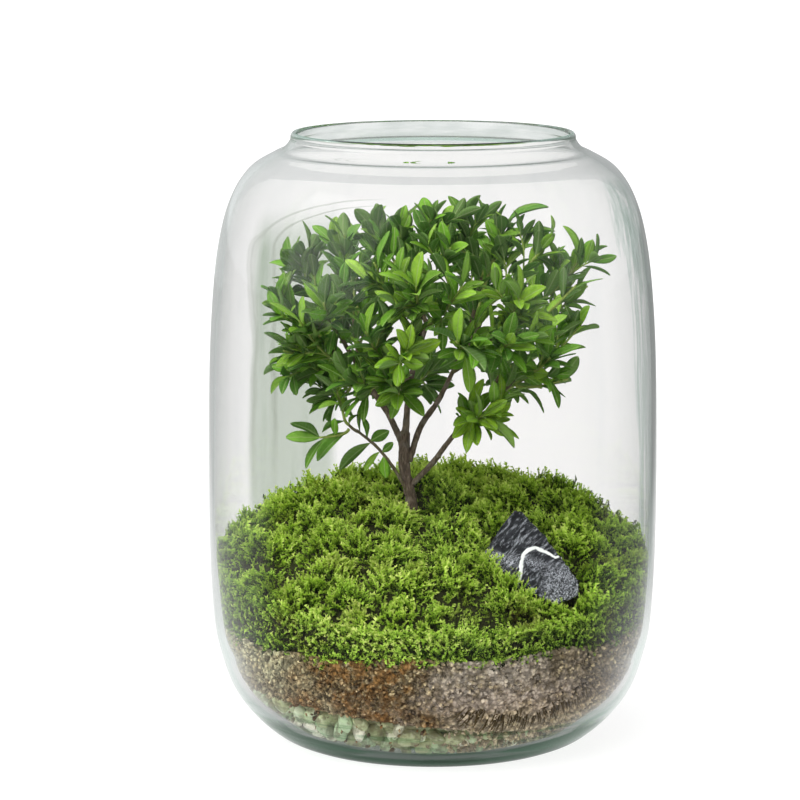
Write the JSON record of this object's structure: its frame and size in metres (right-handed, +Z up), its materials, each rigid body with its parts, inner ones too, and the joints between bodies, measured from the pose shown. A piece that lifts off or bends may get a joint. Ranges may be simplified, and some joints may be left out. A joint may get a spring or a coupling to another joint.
{
  "type": "glass plant terrarium",
  "caption": "Open wide-mouthed glass jar planted with a small leafy tree on a moss carpet, over soil and a pebble drainage layer, with a veined stone set in the moss.",
  "frame": {"origin": "centre of the jar's foot, on the surface that it stands on", "axes": "+Z up along the jar's axis, -Y towards the side that the jar is looked at from, +X to the right seen from there"},
  "size_m": [0.221, 0.221, 0.3],
  "materials": {
    "glass": "polished",
    "pebbles": "matte",
    "soil": "matte",
    "moss": "matte",
    "stone": "matte",
    "bark": "matte",
    "leaf": "satin"
  },
  "bodies": {
    "root": {"glass_jar": "glass", "drainage_pebbles": "pebbles", "soil_bed": "soil", "moss_carpet": "moss", "veined_stone": "stone", "tree_trunk_and_boughs": "bark", "leafy_spray_01": "leaf", "leafy_spray_02": "leaf", "leafy_spray_03": "leaf", "leafy_spray_04": "leaf", "leafy_spray_05": "leaf", "leafy_spray_06": "leaf", "leafy_spray_07": "leaf", "leafy_spray_08": "leaf", "leafy_spray_09": "leaf", "leafy_spray_10": "leaf", "leafy_spray_11": "leaf", "leafy_spray_12": "leaf", "leafy_spray_13": "leaf", "leafy_spray_14": "leaf", "leafy_spray_15": "leaf", "leafy_spray_16": "leaf", "leafy_spray_17": "leaf", "leafy_spray_18": "leaf", "leafy_spray_19": "leaf", "leafy_spray_20": "leaf", "leafy_spray_21": "leaf", "leafy_spray_22": "leaf", "leafy_spray_23": "leaf", "leafy_spray_24": "leaf", "leafy_spray_25": "leaf", "leafy_spray_26": "leaf", "leafy_spray_27": "leaf", "leafy_spray_28": "leaf", "leafy_spray_29": "leaf", "leafy_spray_30": "leaf", "leafy_spray_31": "leaf", "leafy_spray_32": "leaf", "leafy_spray_33": "leaf", "leafy_spray_34": "leaf", "leafy_spray_35": "leaf", "leafy_spray_36": "leaf", "leafy_spray_37": "leaf", "leafy_spray_38": "leaf", "leafy_spray_39": "leaf", "leafy_spray_40": "leaf", "leafy_spray_41": "leaf", "leafy_spray_42": "leaf", "leafy_spray_43": "leaf", "leafy_spray_44": "leaf", "leafy_spray_45": "leaf", "leafy_spray_46": "leaf", "leafy_spray_47": "leaf"}
  },
  "joints": []
}
